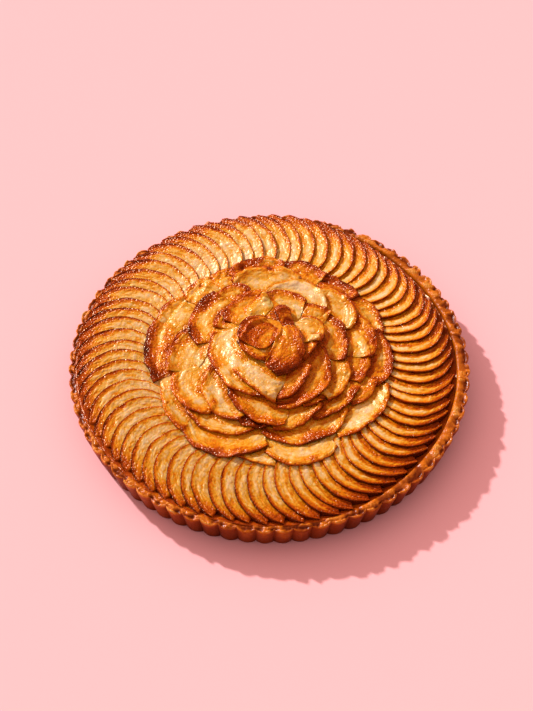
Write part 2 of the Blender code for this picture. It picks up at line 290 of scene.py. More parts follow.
# pastry case
crust = {
    "flutes": 71, "fluteDepth": 2.9 * mm, "flutePower": 0.7,
    "fluteStart": math.radians(1.9), "fluteSway": math.radians(3), "fluteCrowd": math.radians(117),
    "columnsPerFlute": 20, "profileStep": 0.56 * mm, "longRun": 8 * mm, "longStep": 2.5,
    "discRun": 50 * mm, "discSteps": 2, "sharpRows": 4, "averaging": 2,
    "crumb": 1.9 * mm, "crumbCell": 4.6 * mm, "pits": 0.4, "pitLevel": 0.4,
    "grain": 0.18 * mm, "grainCell": 1.1 * mm, "grainPlain": 0.35, "grainRidge": 0.8,
    "crumbOut": 0.3, "crumbUp": 0.9, "crumbSink": 0.25 * mm, "crumbFrom": 3 * mm,
    "rightAt": math.radians(0), "rightRange": (0.1, 0.85), "widening": 4.2 * mm,  # the ridge is widest here
    "frontAt": math.radians(250), "frontRange": (0.2, 0.9), "frontWidening": 1.4 * mm,
    "ridgeFrom": 137.0 * mm, "ridgeTo": 135.4 * mm, "wideningFades": 120 * mm, "smoothness": 0.15,
    "bulge": 1.5 * mm, "bulgeAt": 136.0 * mm, "bulgeWidth": 0.55 * mm, "reach": 140.2 * mm, "top": 26.2 * mm,
    # lumpsPaler paints light and shade: the crumbs' lumps paler and the pits between them darker
    "burnt": 0.10, "burntCell": 14 * mm, "lumpsPaler": 0.30, "groovesDarker": 0.10, "ridgePaler": 0.17,
    "glazeRange": (0.3, 0.9),  # the glaze starts and is full at these shares of the crumb relief
    # radius, height (mm), share of the flute depth, share of the crumb relief and browning, out under
    # the base, up the wall, over the lip and the glazed ridge, down inside and back along the floor
    "profile": [(0, 0, 0, 0, .6), (128, 0, .4, 0, .6), (132.9, 0, .6, 0, .74), (134.1, .5, .9, 0, .74),
                (134.5, 1.6, 1, 0, .70), (137.4, 11.8, 1, .05, .57), (140.1, 20.8, 1, .15, .50),
                (140.5, 22.3, 1, .5, .40), (140.1, 23.4, .95, .8, .26), (139.2, 23.6, .85, 1, .38),
                (138.3, 22.8, .62, 1, .58), (137.6, 22.7, .38, 1, .54), (137.1, 23.3, .2, .9, .44),
                (136.4, 24.0, .1, .9, .40), (135.7, 23.6, .05, .7, .42), (135.2, 22.4, 0, .4, .58),
                (134.2, 19, 0, .2, .66), (132.5, 14.2, 0, 0, .7), (131, 14, 0, 0, .7), (0, 14, 0, 0, .7)],
}


# how far to the right side of the tart a direction lies, from 0 to 1: a gentle step of its cosine
def rightward(shape, angle):
    return smoothStep(*shape["rightRange"], np.cos(angle - shape["rightAt"]))


# how much wider the ridge is in a direction: most on the right, and a little round the front
def ridgeWidening(shape, angle):
    front = smoothStep(*shape["frontRange"], np.cos(angle - shape["frontAt"]))
    return np.maximum(shape["widening"] * rightward(shape, angle), shape["frontWidening"] * front)


# the profile's points with more between them, closer on short runs than on long ones and few across the flat
# discs; rounds of averaging with the rows on either side then take the corners off
def crustRows(shape):
    corners = np.array(shape["profile"], float)
    corners[:, :2] *= mm
    rows = [corners[0]]
    for start, end in zip(corners, corners[1:]):
        run = np.hypot(*(end - start)[:2])
        wider = shape["longStep"] if run > shape["longRun"] else 1
        count = max(1, round(run / shape["profileStep"] / wider))
        count = shape["discSteps"] if run > shape["discRun"] else count
        rows += [start + (end - start) * share for share in np.arange(1, count + 1) / count]
    rows = np.array(rows)
    kept = shape["sharpRows"]
    middle = slice(kept, -kept)
    for _ in range(shape["averaging"]):
        rows[middle] = (rows[kept - 1:-kept - 1] + 2 * rows[middle] + rows[kept + 1:1 - kept]) / 4
    return rows


# columns round the rim: the scallop is |cos(pi k)|^power at flute k, and the even angle sways by a sine; the
# rows inside the lip move inward where the ridge is wider, and on the right its crest bulges by a bell curve
def crustPoints(shape):
    distance, rise, fluted, crumbly, browned = crustRows(shape).T[:, :, None]
    columns = shape["flutes"] * shape["columnsPerFlute"]
    share = np.arange(columns) / columns
    even = 2 * np.pi * share
    turn = even + shape["fluteStart"] - shape["fluteSway"] * np.sin(even - shape["fluteCrowd"])
    scallop = np.abs(np.cos(np.pi * shape["flutes"] * share)) ** shape["flutePower"]
    radius = distance - shape["fluteDepth"] * fluted * (1 - scallop)
    pastLip = np.arange(len(distance))[:, None] > np.argmax(distance)
    inside = pastLip * smoothStep(shape["ridgeFrom"], shape["ridgeTo"], distance)
    radius = radius - ridgeWidening(shape, turn) * inside * smoothStep(0, shape["wideningFades"], distance)
    ridge = inside * rightward(shape, turn)
    height = rise + shape["bulge"] * bell(distance - shape["bulgeAt"], shape["bulgeWidth"]) * ridge

    place = pointsOf(*turned(radius, 0, turn), height)
    lumps = smoothStep(-0.5, 0.5, layeredNoise(place, shape["crumbCell"], 11)) - 0.5  # flat lumps and pits
    pits = layeredNoise(place, shape["crumbCell"] / 2, 13, fold=True) - shape["pitLevel"]
    lumps = (lumps + shape["pits"] * pits) * (1 - shape["smoothness"] * ridge)
    grain = shape["grain"] * layeredNoise(place, shape["grainCell"], 15)
    plain = shape["grainPlain"]
    grain = grain * (plain + (1 - plain) * crumbly + shape["grainRidge"] * ridge)
    crumbs = shape["crumb"] * lumps * crumbly + grain
    radius = np.minimum(radius + shape["crumbOut"] * crumbs, shape["reach"])
    raised = np.minimum(height + shape["crumbUp"] * crumbs - shape["crumbSink"] * crumbly, shape["top"])
    height = np.where(height > shape["crumbFrom"], raised, height)

    bake = browned + shape["burnt"] * noise(place, shape["burntCell"], 17)
    # painted light and shade: the lumps paler and the pits between them darker
    bake = bake - (shape["lumpsPaler"] * lumps + shape["ridgePaler"] * ridge) * crumbly
    bake = bake + shape["groovesDarker"] * (1 - scallop) * fluted
    glaze = smoothStep(*shape["glazeRange"], crumbly) + 0 * turn
    return pointsOf(*turned(radius, 0, turn), height), bake, glaze


# the crust's rows as rings of faces, with a fan to one point in the middle of the base and of the floor
def makeCrust(shape):
    points, *numbers = crustPoints(shape)
    rows, columns = points.shape[:2]
    rings = points[1:-1].reshape(-1, 3)
    count, column = len(rings), np.arange(columns)
    fans = np.concatenate([fan(count, column, back=True), fan(count + 1, count - columns + column)])
    poles = np.stack([points[0, 0], points[-1, 0]])
    bake, glaze = [np.append(number[1:-1], number[[0, -1], 0]) for number in numbers]
    quads = gridFaces(rows - 2, columns, closeColumns=True)
    obj = addMesh("pastry_case", np.concatenate([rings, poles]), quads, fans, crustFinish,
                  {"bake": bake, "glaze": glaze})
    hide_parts("crust")
    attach(obj, "root")
    return obj


pastryCase = makeCrust(crust)
print("pastry case:", len(pastryCase.data.polygons), "faces")


# ring of slices and the filling under them
ring = {
    "slices": 70, "sliceRadius": 29.5 * mm, "ringMiddle": 99.5 * mm, "noiseApart": 50 * mm,
    "crest": 29.0 * mm, "fall": 0.21, "sag": 1.5, "halfTurn": math.radians(86),
    "turnJitter": math.radians(0.6), "crestJitter": 0.6 * mm, "reachJitter": 0.7 * mm,
    "backLift": 3.2 * mm, "backAngle": math.radians(105), "backSpread": math.radians(38),
    "rows": 26, "shownRows": 0.78, "shownDepth": 0.42, "columns": 126,
    "edgeRound": 0.5 * mm, "edgeBends": (25, 50, 75, 90), "edgeWave": 0.45 * mm, "edgeCell": 9 * mm,
    # the outer tips draw back by so many times the ridge's widening in their direction
    "stretch": 4.6 * mm, "shortening": 1.85, "tipTurn": math.radians(13), "tipDepth": 1.3 * mm,
    "wrinkle": 0.33 * mm, "wrinkleShare": 0.5, "wrinkleCells": (4.4 * mm, 2.2 * mm, mm),
    "lumpShare": 1.4, "lumpLevel": 0.4, "lumpCells": (2.8 * mm, 1.7 * mm, mm),
    "calmEdge": 0.3, "calmTo": 2.5 * mm,
    "waving": 0.45 * mm, "wavingCell": 13 * mm, "wavingRun": 5 * mm, "puff": 0.45 * mm, "puffRun": 1.6 * mm,
    "underFront": 0.35 * mm, "underStart": 0.05 * mm, "underRows": (0.08, 0.25, 0.5, 1.0),
    "sideBulge": 0.15 * mm, "sideHeight": 1.0 * mm, "thinnest": 0.6 * mm, "sunk": 0.15 * mm,
    "bendSide": (0.2, 0.8),  # how far the first and the last bend of the edge count as its side
    "piecesPerRing": 5,
}

bed = {
    # radius and height in mm, under the slices and under the rose
    "profile": [(0, 18), (84, 20.5), (133.8, 19)],
    "mound": [(0, 43), (20, 41), (46, 33.5), (60, 30.6), (72, 29), (78, 28), (84, 17.5)],
    "tilt": 0.05, "underside": 14.4 * mm, "radius": 135.3 * mm, "foot": 0.977,
    "rimRise": 4.4 * mm, "rimRange": (124 * mm, 134.5 * mm), "rightLower": 0.3,
    "juiceRise": 1.0 * mm, "juiceRange": (118 * mm, 133 * mm),
    "juiceAt": math.radians(197), "juiceSpread": math.radians(26),
    "lump": 0.45 * mm, "lumpCell": 4 * mm, "rows": 90, "rowSpacing": 0.7, "flatRows": 3, "columns": 720,
    "brown": 0.22, "brownRim": 0.36, "brownRimRange": (100 * mm, 128 * mm), "brownLumps": 0.12,
    "brownMiddle": 0.6, "brownUnder": 0.7,
}


# even angles and one height of crest for the slices, each moved a little at random
def sliceAngles(shape):
    random = np.random.default_rng(3)
    count = shape["slices"]
    angles = np.arange(count) * 2 * np.pi / count
    angles = angles + random.uniform(-shape["turnJitter"], shape["turnJitter"], count)
    return angles, shape["crest"] + random.uniform(-shape["crestJitter"], shape["crestJitter"], count)


# height of a slice's top: it falls behind the skin edge, and less and less
def sliceHeight(shape, behind, crest):
    return crest - shape["fall"] * behind + shape["sag"] * behind ** 2


# the slices along the back stand higher, most of all at their outer tips
def backLift(shape, angle, across):
    outward = np.clip((across - shape["ringMiddle"]) / shape["sliceRadius"], 0, 1)
    return shape["backLift"] * bell(angleFrom(shape["backAngle"], angle), shape["backSpread"]) * outward


# height of the filling: by radius, and under the rose a mound that is higher towards the back
def bedHeight(shape, x, y):
    profile, mound = (np.array(shape[line]).T * mm for line in ("profile", "mound"))
    radius = np.hypot(x, y)
    height = np.interp(radius, *profile)
    over = np.interp(radius, *mound) + shape["tilt"] * y
    return np.where(radius < mound[0, -1], np.maximum(height, over), height)


# height of one slice's plain top at plan points, or a very low number outside its half-moon
def sliceTop(shape, angle, crest, x, y):
    across = x * np.cos(angle) + y * np.sin(angle)
    behind = y * np.cos(angle) - x * np.sin(angle)
    off = np.hypot(across - shape["ringMiddle"], behind - shape["sliceRadius"])
    inside = (off < shape["sliceRadius"]) & (behind < shape["sliceRadius"])
    top = sliceHeight(shape, behind, crest) + backLift(shape, angle + behind / shape["ringMiddle"], across)
    return np.where(inside, top, -1.0)


# All slices at once. Across a slice runs an arc about its middle; behind it run rows that are close together
# as far as the slice shows. Each row's height is the slice's fall plus wrinkles, the rounded skin edge turns
# through a quarter circle, and the underside lies on the slice before.
def ringPoints(shape):
    angles, crests = sliceAngles(shape)
    number = np.arange(shape["slices"])[:, None, None]
    ownPlace = number * shape["noiseApart"]  # where each slice reads the noise
    angle, crest = angles[:, None, None], crests[:, None, None]
    turn = np.linspace(-1, 1, shape["columns"])[None, None, :] * shape["halfTurn"]
    arc = turn * shape["sliceRadius"]
    wave = shape["edgeWave"] * layeredNoise(pointsOf(arc, ownPlace), shape["edgeCell"], 21)
    longer = shape["stretch"] - shape["shortening"] * ridgeWidening(crust, angle + shape["tipTurn"])
    longer = longer + shape["reachJitter"] * noise(pointsOf(ownPlace), 1, 25)
    stretch = 1 + longer / shape["sliceRadius"] * smoothStep(0, 1, np.sin(turn))
    across = shape["ringMiddle"] + (shape["sliceRadius"] + wave) * np.sin(turn) * stretch
    skin = shape["sliceRadius"] - (shape["sliceRadius"] + wave) * np.cos(turn)
    depth = np.maximum(shape["sliceRadius"] - skin, shape["tipDepth"])

    shares = [0, shape["shownRows"], 1], [0, shape["shownDepth"], 1]
    share = np.interp(np.linspace(1, 0, shape["rows"]), *shares)[None, :, None]
    behindEdge = shape["edgeRound"] + (depth - shape["edgeRound"]) * share
    bend = np.radians(shape["edgeBends"])[None, :, None]
    roundEdge = shape["edgeRound"] * (1 - np.sin(bend)) + 0 * depth
    distance = np.concatenate([behindEdge, roundEdge], 1)
    drop = np.concatenate([0 * behindEdge, shape["edgeRound"] * (1 - np.cos(bend)) + 0 * depth], 1)
    behind = skin + distance
    x, y = turned(across, behind, angle)
    top = sliceHeight(shape, behind, crest) + backLift(shape, angle + behind / shape["ringMiddle"], across)

    spot = pointsOf(arc, distance, ownPlace)
    wrinkles = shape["wrinkleShare"] * layeredNoise(spot, shape["wrinkleCells"], 31)
    lumps = layeredNoise(spot, shape["lumpCells"], 35, fold=True) - shape["lumpLevel"]
    calm = shape["calmEdge"] + (1 - shape["calmEdge"]) * smoothStep(0, shape["calmTo"], distance)
    relief = (wrinkles + shape["lumpShare"] * lumps) * calm
    waving = shape["waving"] * noise(pointsOf(arc, ownPlace), shape["wavingCell"], 41)
    top = top + shape["wrinkle"] * relief - drop
    top = top + waving * np.exp(-distance / shape["wavingRun"])
    top = top + shape["puff"] * np.exp(-distance / shape["puffRun"])

    before = np.roll(angles, 1)[:, None, None], np.roll(crests, 1)[:, None, None]
    underRows = depth * np.array(shape["underRows"])[None, :, None]
    underDistance = np.concatenate([shape["underFront"] + 0 * skin, shape["underStart"] + underRows], 1)
    underBehind = skin + underDistance
    underX, underY = turned(across, underBehind, angle)
    support = np.maximum(sliceTop(shape, *before, underX, underY), bedHeight(bed, underX, underY))
    thinnest = sliceHeight(shape, underBehind, crest) - shape["thinnest"]
    underZ = np.minimum(support, thinnest) - shape["sunk"]
    sideZ = (top[:, -1:] + np.minimum(support[:, :1], top[:, -1:] - shape["sideHeight"])) / 2
    sideX, sideY = turned(across, skin - shape["sideBulge"], angle)

    points = pointsOf(*(np.concatenate(rows, 1) for rows in
                        ((x, sideX, underX), (y, sideY, underY), (top, sideZ, underZ))))
    fromEdge = np.concatenate([distance, 0 * skin, underDistance], 1)
    side = np.concatenate([0 * distance, 1 + 0 * skin, 1 + 0 * underDistance], 1)
    bends = len(shape["edgeBends"])
    side[:, shape["rows"]:shape["rows"] + bends] = np.linspace(*shape["bendSide"], bends)[None, :, None]
    shown = np.concatenate([relief, 0 * skin, 0 * underDistance], 1)
    return points, fromEdge, side, arc + 0 * fromEdge, ownPlace + 0 * fromEdge, shown


# browning of the slices, with painted shade: where it changes, then how much each cause adds to it,
# everywhere and more or less towards the rim, on the right, at the back, in patches, in streaks or on lumps;
# last, the share of a cause that is missing at the back
ringBrowningAndShade = {
    "outward": (84 * mm, 128 * mm), "outer": (106 * mm, 130 * mm), "outerRight": (112 * mm, 127 * mm),
    "rim": (120 * mm, 135 * mm), "right": (-0.2, 0.8), "back": (0.2, 1),
    "backLeft": (0.3, 1), "backLeftAt": math.radians(142), "patchCell": 16 * mm,
    "streakCells": (9 * mm, 1.6 * mm, mm), "spotCells": (5 * mm, 2.5 * mm, mm), "spots": (0.35, 0.9),
    "edgeWidth": 1.8 * mm, "edgeWider": 2.4 * mm, "lineWidth": 0.8 * mm, "crease": (0.52, 0.8),
    "adds": {
        # the flesh is paler on its lumps and browner between them: juice in the hollows and painted shade
        "flesh": {"all": 0.10, "back": -0.04, "patches": 0.05, "streaks": 0.04, "lumps": -0.11},
        "spots": {"all": 0.12, "back": -0.02},
        "edge": {"all": 0.18, "outward": 0.20, "patches": 0.10, "backLeft": 0.08},
        "line": {"all": 0.22, "outward": 0.22, "backLeft": 0.06},
        # the side face and underside: the skin's own brown and painted shade
        "side": {"all": 0.16, "outward": 0.18},
        # painted shade in the crease in front of the next slice, most on the right, where the slices' shadows
        # fall
        "crease": {"all": 0.06, "right": 0.26},
        "outer": {"all": 0.08},
        "outerRight": {"right": 0.12},
        "rim": {"all": 0.34, "right": -0.12},
    },
    "lessAtBack": {"edge": 0.15, "line": 0.55, "side": 0.5},
}


# the sum of all causes, each times its weights: the skin edge with a thin line on it, the side (the skin's
# own brown and painted shade), spots, painted shade in the crease in front of the next slice, and bands by
# radius
def ringBakeAndShade(shape, points, fromEdge, side, arc, ownPlace, relief):
    radius = np.hypot(points[..., 0], points[..., 1])
    angle = np.arctan2(points[..., 1], points[..., 0])
    spot = pointsOf(arc, fromEdge, ownPlace)
    places = {
        "all": 1, "lumps": relief,
        "outward": smoothStep(*shape["outward"], radius),
        "right": smoothStep(*shape["right"], np.cos(angle)),
        "back": smoothStep(*shape["back"], np.sin(angle)),
        "backLeft": smoothStep(*shape["backLeft"], np.cos(angle - shape["backLeftAt"])),
        "patches": layeredNoise(points, shape["patchCell"], 51),
        "streaks": layeredNoise(spot, shape["streakCells"], 61),
    }
    pitch = 2 * np.pi * radius / ring["slices"]
    causes = {
        "flesh": 1, "side": side,
        "spots": smoothStep(*shape["spots"], layeredNoise(spot, shape["spotCells"], 67)),
        "edge": bell(fromEdge, shape["edgeWidth"] + shape["edgeWider"] * places["outward"]),
        "line": bell(fromEdge, shape["lineWidth"]),
        # painted shade: darker from about half the pitch behind the skin edge, where the next slice shades
        # the flesh
        "crease": smoothStep(*shape["crease"], fromEdge / pitch),
        **{band: smoothStep(*shape[band], radius) for band in ("outer", "outerRight", "rim")},
    }
    bake = 0
    for cause, weights in shape["adds"].items():
        amount = sum(weight * places[place] for place, weight in weights.items())
        bake = bake + causes[cause] * amount * (1 - shape["lessAtBack"].get(cause, 0) * places["back"])
    return bake


# the slices in pieces of neighbours; the faces are the same for each slice and are counted on from it
def makeRing(shape):
    points, *numbers = ringPoints(shape)
    bake = ringBakeAndShade(ringBrowningAndShade, points, *numbers)
    made = []
    for piece, chosen in enumerate(np.array_split(np.arange(shape["slices"]), shape["piecesPerRing"])):
        closed = [closedLoops(points[number]) for number in chosen]
        onePoints, quads, triangles = closed[0]
        starts = np.arange(len(chosen))[:, None, None] * len(onePoints)
        allBake = np.concatenate([loopValues(bake[number]) for number in chosen])
        obj = addMesh(f"apple_slices_{piece + 1}", np.concatenate([one[0] for one in closed]),
                      (quads[:, ::-1] + starts).reshape(-1, 4), (triangles[:, ::-1] + starts).reshape(-1, 3),
                      sliceFinish, {"bake": allBake})
        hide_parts("apple_ring")
        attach(obj, "root")
        made.append(obj)
    return made


# the filling is a disc of rings of points: its height follows the bed and the mound, with set juice that
# rises to the rim all round and has boiled up higher on one side
def makeBed(shape):
    radius = np.linspace(0, 1, shape["rows"])[1:, None] ** shape["rowSpacing"] * shape["radius"]
    turn = np.arange(shape["columns"])[None, :] * 2 * np.pi / shape["columns"]
    x, y = turned(radius, 0, turn)
    flood = bell(angleFrom(shape["juiceAt"], turn), shape["juiceSpread"])
    flood = flood * smoothStep(*shape["juiceRange"], radius)
    lumps = layeredNoise(pointsOf(x, y), shape["lumpCell"], 71)
    top = bedHeight(shape, x, y) + shape["lump"] * lumps + shape["juiceRise"] * flood
    rimRise = shape["rimRise"] * (1 - shape["rightLower"] * rightward(crust, turn))
    top = top + rimRise * smoothStep(*shape["rimRange"], radius)
    flat = slice(shape["flatRows"])
    top[flat] = top[flat].mean()
    upper = pointsOf(x, y, top)
    lower = upper[-1:] * [shape["foot"], shape["foot"], 0] + [0, 0, shape["underside"]]
    points = np.concatenate([upper, lower])
    rows, columns = points.shape[:2]
    count, column = rows * columns, np.arange(columns)
    centre = np.array([[0, 0, top[0, 0]], [0, 0, shape["underside"]]])
    fans = np.concatenate([fan(count, column), fan(count + 1, count - columns + column, back=True)])
    quads = gridFaces(rows, columns, closeColumns=True)[:, ::-1]
    upperBake = shape["brown"] + shape["brownRim"] * smoothStep(*shape["brownRimRange"], radius)
    upperBake = upperBake + shape["brownLumps"] * lumps
    ends = [shape["brownMiddle"], shape["brownUnder"]]
    bake = np.concatenate([upperBake.ravel(), np.full(columns, shape["brownUnder"]), ends])
    obj = addMesh("filling", np.concatenate([points.reshape(-1, 3), centre]), quads, fans, juiceFinish,
                  {"bake": bake})
    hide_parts("apple_ring")
    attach(obj, "root")
    return obj


slicePieces = makeRing(ring)
filling = makeBed(bed)
print("ring and filling:", sum(len(piece.data.polygons) for piece in [*slicePieces, filling]), "faces")


# rose of petals
rose = {
    # ring by ring from the outside and bottom petal first: the clock angle of the curved edge's peak, its
    # distance from the centre, the petal's turn from facing straight out, the edge's width and depth and, for
    # some, the length from the edge inward
    "outer": [(264, 89, -9, 30, 2), (285, 93, -8, 51, 15), (212, 85, -9, 40, 5), (31, 89, -1, 40, 7),
              (53, 89, -2, 34, 4), (117, 88, 17, 32, 7), (131, 88, 6, 28, 5), (149, 89, -7, 32, 5),
              (74, 93, -3, 38, 7), (98, 94, 8, 43, 13), (327, 89, -4, 60, 12), (2, 87, -3, 51, 12),
              (248, 90, 10, 63, 18), (175, 88, 6, 56, 7)],
    "second": [(336, 76, -18, 28, 4), (358, 70, -1, 38, 6), (16, 78, -2, 40, 10), (41, 77, -9, 42, 15),
               (294, 76, -5, 64, 19), (320, 66, -9, 44, 6), (93, 82, 2, 51, 12), (171, 71, -14, 43, 8),
               (237, 73, 9, 55, 14), (211, 73, 7, 45, 12), (72, 71, 6, 47, 21), (115, 69, -4, 27, 8),
               (148, 67, 19, 51, 12)],
    "third": [(260, 61, -2, 26, 5), (221, 58, -16, 51, 15), (293, 62, 10, 42, 8), (311, 53, -2, 23, 4),
              (337, 59, 2, 38, 7), (18, 58, -6, 44, 9), (51, 55, 19, 21, 3), (79, 57, 7, 32, 8),
              (140, 50, 17, 18, 2), (104, 46, 42, 22, 3), (119, 55, 20, 40, 10), (252, 54, -21, 53, 13)],
    "inner": [(322, 49, 6, 61, 20), (306, 38, 14, 38, 7), (213, 41, 4, 72, 21), (248, 35, -18, 40, 4)],
    "heart": [(1, 32, -24, 23, 3), (30, 43, -8, 26, 9), (78, 38, 30, 12, 3, 15), (133, 28, 10, 31, 9, 27),
              (205, 18, 25, 28, 6), (345, 24.5, -2, 45, 13, 21)],
}

# how brown each petal is, in the same order: its flesh and its skin edge, from 0 pale to 1 burnt, and the
# width of the band along the edge in mm
browning = {
    "outer": [(.12, .35, 3), (.12, .48, 6), (.18, .4, 4), (.28, .52, 6), (.38, .72, 8), (.22, .4, 5),
              (.20, .42, 6), (.20, .45, 7), (.26, .62, 7), (.26, .54, 7), (.14, .55, 5), (.34, .85, 7),
              (.18, .6, 8), (.28, .85, 7)],
    "second": [(.26, .5, 4), (.24, .5, 6), (.28, .62, 6), (.12, .4, 5), (.18, .5, 7), (.22, .52, 7),
               (.17, .42, 6), (.15, .46, 7), (.15, .46, 6), (.17, .54, 7), (.08, .34, 3), (.26, .58, 7),
               (.18, .68, 8)],
    "third": [(.52, .7, 6), (.12, .46, 6), (.15, .54, 6), (.30, .5, 5), (.18, .42, 4), (.26, .62, 8),
              (.30, .52, 5), (.14, .52, 6), (.30, .5, 5), (.38, .62, 7), (.22, .6, 7), (.20, .56, 7)],
    "inner": [(.28, .58, 8), (.36, .56, 9), (.12, .56, 6), (.10, .46, 4)],
    "heart": [(.28, .5, 4), (.22, .46, 3), (.60, .85, 6), (.40, .8, 6), (.14, .54, 6), (.42, .7, 4)],
}

# darker or paler blotches: petal, place along it from -1 to 1, mm in from the edge, mm across, and how much
# browner it is there
blotches = [
    ("outer", 2, .2, 4, 9, .2), ("outer", 9, -.1, 4, 9, .2), ("outer", 13, -.1, 5, 12, .25),
    ("outer", 14, -.1, 3, 14, .2), ("second", 3, -.25, 4, 6, .3), ("second", 7, -.1, 3, 4, .5),
    ("second", 10, .4, 10, 6, -.2), ("second", 13, -.45, 6, 11, .2), ("third", 2, .1, 5, 5, .2),
    ("third", 6, .5, 4, 9, .25), ("third", 8, -.4, 3, 7, .2), ("third", 12, .35, 5, 9, .2),
    # on the heart's leaf (6): paler at its upper end as painted light, and browner at its lower end as
    # painted shadow from the cup and lip
    ("heart", 4, .1, 8, 7, .15), ("heart", 6, .6, 8, 12, -.14), ("heart", 6, -.85, 9, 16, .4),
]

# how high the petals of the heart stand over the pile, in mm, at these shares of the way to the skin edge
heartShares = (0, 0.3, 0.7, 1)
heartLift = {
    1: (0.5, 1.0, 2.0, 3.0), 2: (0.3, 0.6, 1.4, 2.2), 3: (1.0, 3.5, 5.0, 3.0), 4: (1.0, 0.4, 1.6, 4.2),
    5: (0.2, 0.8, 2.2, 2.6), 6: (3.6, 4.4, 3.0, 0.6),
}

petal = {
    "skin": 1.7 * mm, "core": 0.6 * mm, "tip": 2.5 * mm, "body": 5 * mm, "run": 20 * mm,
    "narrowing": 0.1, "full": 0.8, "gap": 0.05 * mm, "sink": 0.3 * mm, "thinnest": 0.1 * mm,
    "settle": {"outer": 0.5, "second": 0.75, "third": 0.85, "inner": 0.85, "heart": 0.85},
    "tipSettle": 0.85, "tipFrom": 0.82,
    "curl": {"outer": 0.3 * mm, "second": 0.3 * mm, "third": 0.4 * mm, "inner": 0.6 * mm, "heart": 3.0 * mm},
    "wave": {"outer": 0.5 * mm, "second": 0.5 * mm, "third": 0.6 * mm, "inner": 0.7 * mm, "heart": 0.8 * mm},
    "waveCell": 14 * mm, "waveMean": 0.3, "waveShare": 0.7,
    "mapReach": 110 * mm, "mapStep": 0.5 * mm, "stiffness": 9 * mm, "raises": 12, "raiseShare": 0.7,
    "coarseRows": 5, "coarseColumns": 13, "rows": 24, "columns": 120, "ends": 0.997,
    "tuck": 0.45, "tuckThickness": 0.15 * mm, "tuckOver": 0.3, "smoothing": 3,
    "topRows": 44, "topCrowding": 1.35, "edgeRows": 7, "underRows": 12, "edgeBend": 66,
    "edgeRound": 0.8 * mm, "edgeShare": 0.4, "scallop": 1.0 * mm, "scallopCell": 9 * mm,
    "tipThickness": 0.1, "faceShare": 0.49, "reliefFrom": 0.3,  # shares of the petal's thickness
    "wrinkle": 0.25 * mm, "wrinkleCells": (4.2 * mm, 2.4 * mm, mm),
    "swell": 0.35 * mm, "swellCells": (12 * mm, 7 * mm, mm),
    "shrivel": 0.45 * mm, "shrivelCells": (3.4 * mm, 2.2 * mm, mm), "shrivelLevel": 0.4, "shrivelRun": 7 * mm,
    "lip": 0.4 * mm, "lipAt": 2.6 * mm, "lipWidth": 2.4 * mm, "puff": 0.6, "puffCell": 10 * mm,
    "groove": 0.7, "grooveAt": 8.5 * mm, "grooveWidth": 4 * mm,
    "bareTuck": {("heart", 6): 0.04, ("heart", 4): 0.03},  # petals whose inner edge shows too
    "fold": {4: (0.78, 0.05, 1.8)},  # in the heart: share of the way to the edge, width, height in mm
    "layOrder": {"heart": (1, 2, 3, 5, 4, 6)},
}

# how the browning of a petal varies: mottling of its flesh and edge, the shape of the band and of the line,
# and painted shade on its relief, its side and in its hollows
petalBrowningAndShade = {
    # lumpsPaler: paler on the ridges of the relief and browner in its troughs, juice in the troughs and
    # painted shade
    "mottleCells": (13 * mm, 5 * mm, mm), "mottle": 0.05, "mottleBrown": 0.25, "lumpsPaler": 0.25,
    "edgeCell": 11 * mm, "bandMean": 0.85, "bandVaries": 0.3, "bandPower": 1.8,
    "edgeMean": 0.9, "edgeVaries": 0.3, "edgeMottle": 0.2, "line": 0.12, "lineWidth": 0.9 * mm,
    # side: the side face and underside browner, the skin's own brown and painted shade
    "blotchMottle": 0.3, "side": 0.18,
    # painted shade, with juice run in, in the hollows in front of higher petals: how much, over which depth
    # under the nearby top, and over how many map steps
    "hollowJuiceAndShade": 0.2, "hollowJuiceAndShadeRange": (1.5 * mm, 4.0 * mm), "hollowJuiceAndShadeReach": 6,
}


# height of the pile so far at every point of a square map: the filling, then the ring's slices
def startMap(shape):
    count = round(2 * shape["mapReach"] / shape["mapStep"]) + 1
    line = np.linspace(-shape["mapReach"], shape["mapReach"], count)
    x, y = np.meshgrid(line, line, indexing="ij")
    height = bedHeight(bed, x, y)
    for angle, crest in zip(*sliceAngles(ring)):
        height = np.maximum(height, sliceTop(ring, angle, crest, x, y))
    return height


# the map's cells at x and y: the way from the map's corner in whole steps
def mapCells(shape, x, y):
    return tuple(np.round((way + shape["mapReach"]) / shape["mapStep"]).astype(int) for way in (x, y))


# Plan of a petal: its skin edge is an arc of the given width and depth, and from each point of it the petal
# runs inward by a length that falls off towards the tips as a half circle does. Here and below, 1 - along^n
# is nearly 1 in the middle and falls to 0 at the tips, the closer to them the higher n is.
def petalPlan(shape, numbers, along, share, scallop):
    angle, reach, turn, width, depth, *ownRun = numbers
    angle, turn = math.radians(angle), math.radians(turn)
    reach, width, depth = reach * mm, width * mm, depth * mm
    radius = (width ** 2 / 4 + depth ** 2) / (2 * depth)
    half = math.asin(min(1, width / 2 / radius))
    half = math.pi - half if depth > radius else half
    side = radius * np.sin(along * half)
    skin = -radius * (1 - np.cos(along * half))
    run = ownRun[0] * mm if ownRun else max(depth + shape["body"], shape["run"])
    body = (shape["tip"] + (run - shape["tip"]) * np.sqrt(1 - along ** 2)) * np.sqrt(1 - along ** 16)
    out = skin + scallop * np.maximum(share, 0) - body * (1 - share)
    side = side * (1 - shape["narrowing"] * (1 - share))
    x, y = turned(out, side, angle + turn)
    return reach * math.cos(angle) + x, reach * math.sin(angle) + y, body


# weights that read a coarse row of numbers at finer places, by smooth cubic blends
def cubicWeights(coarse, places):
    at = np.clip(places * (coarse - 1), 0, coarse - 1 - 1e-9)
    cell = np.floor(at).astype(int)
    t = (at - cell)[:, None]
    blends = np.concatenate([-t ** 3 + 2 * t ** 2 - t, 3 * t ** 3 - 5 * t ** 2 + 2,
                             -3 * t ** 3 + 4 * t ** 2 + t, t ** 3 - t ** 2], 1) / 2
    weights = np.zeros((len(places), coarse))
    line = np.arange(len(places))
    for step in range(4):
        np.add.at(weights, (line, np.clip(cell + step - 1, 0, coarse - 1)), blends[:, step])
    return weights


